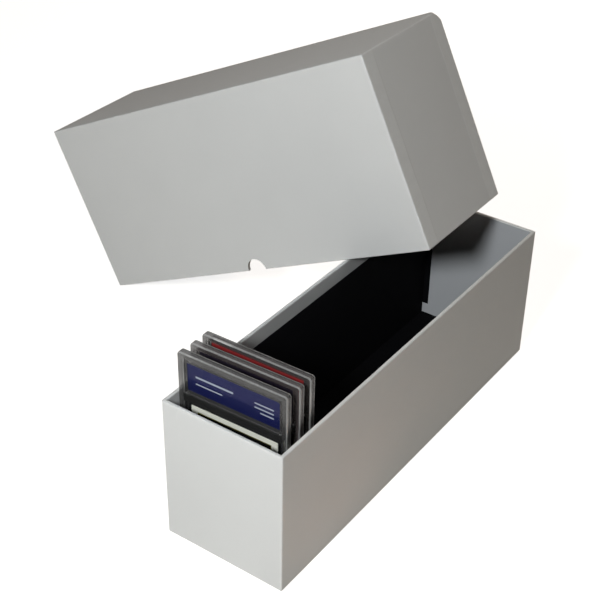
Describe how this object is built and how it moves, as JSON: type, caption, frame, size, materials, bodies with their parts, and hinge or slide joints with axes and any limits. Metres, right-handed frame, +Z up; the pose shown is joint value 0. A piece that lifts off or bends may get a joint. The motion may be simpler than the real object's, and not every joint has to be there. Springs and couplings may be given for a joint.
{
  "type": "graded card storage box",
  "caption": "Long paper-wrapped board box holding upright graded card holders, with a deep telescoping lift-off lid with thumb notches, taken off and leaning on the base.",
  "frame": {"origin": "middle of the base's underside, where it rests on a table", "axes": "+Z up, +Y along the base from the end where the card holders stand to the other end, +X to its right; the lid leans on the left"},
  "size_m": [0.3698, 0.3134, 0.2631],
  "materials": {
    "white_wrap": "matte coated white paper",
    "greyboard": "raw grey board",
    "black_lining": "satin black paper",
    "pale_lining": "matte pale paper",
    "stay_tape": "gummed kraft tape",
    "clear_case": "clear moulded plastic",
    "label_1": "printed navy label",
    "label_2": "printed dark blue label",
    "label_3": "printed red label",
    "card_stock": "coated card with a cream border"
  },
  "bodies": {
    "base": {"base_floor_board": "greyboard", "base_floor_lining": "black_lining", "base_bottom_sheet": "white_wrap", "base_corner_stays": "stay_tape", "base_left_side_board": "greyboard", "base_left_side_wrap": "white_wrap", "base_left_side_lining": "black_lining", "base_right_side_board": "greyboard", "base_right_side_wrap": "white_wrap", "base_right_side_lining": "black_lining", "base_near_end_board": "greyboard", "base_near_end_wrap": "white_wrap", "base_near_end_lining": "pale_lining", "base_far_end_board": "greyboard", "base_far_end_wrap": "white_wrap", "base_far_end_lining": "pale_lining"},
    "lid": {"lid_top_board": "greyboard", "lid_top_lining": "black_lining", "lid_top_wrap": "white_wrap", "lid_corner_stays": "stay_tape", "lid_near_side_board": "greyboard", "lid_near_side_wrap": "white_wrap", "lid_near_side_lining": "black_lining", "lid_far_side_board": "greyboard", "lid_far_side_wrap": "white_wrap", "lid_far_side_lining": "black_lining", "lid_left_end_board": "greyboard", "lid_left_end_wrap": "white_wrap", "lid_left_end_lining": "black_lining", "lid_right_end_board": "greyboard", "lid_right_end_wrap": "white_wrap", "lid_right_end_lining": "black_lining"},
    "slab_1": {"slab_1_front_shell": "clear_case", "slab_1_rear_shell": "clear_case", "slab_1_label": "label_1", "slab_1_card": "card_stock"},
    "slab_2": {"slab_2_front_shell": "clear_case", "slab_2_rear_shell": "clear_case", "slab_2_label": "label_2", "slab_2_card": "card_stock"},
    "slab_3": {"slab_3_front_shell": "clear_case", "slab_3_rear_shell": "clear_case", "slab_3_label": "label_3", "slab_3_card": "card_stock"}
  },
  "joints": [
    {"name": "lid_lift", "type": "slide", "parent": "base", "child": "lid", "axis": [0, 0, 1], "range_m": [0, 0.12]},
    {"name": "slab_1_lift", "type": "slide", "parent": "base", "child": "slab_1", "axis": [0, 0, 1], "range_m": [0, 0.11]},
    {"name": "slab_2_lift", "type": "slide", "parent": "base", "child": "slab_2", "axis": [0, 0, 1], "range_m": [0, 0.11]},
    {"name": "slab_3_lift", "type": "slide", "parent": "base", "child": "slab_3", "axis": [0, 0, 1], "range_m": [0, 0.11]}
  ]
}
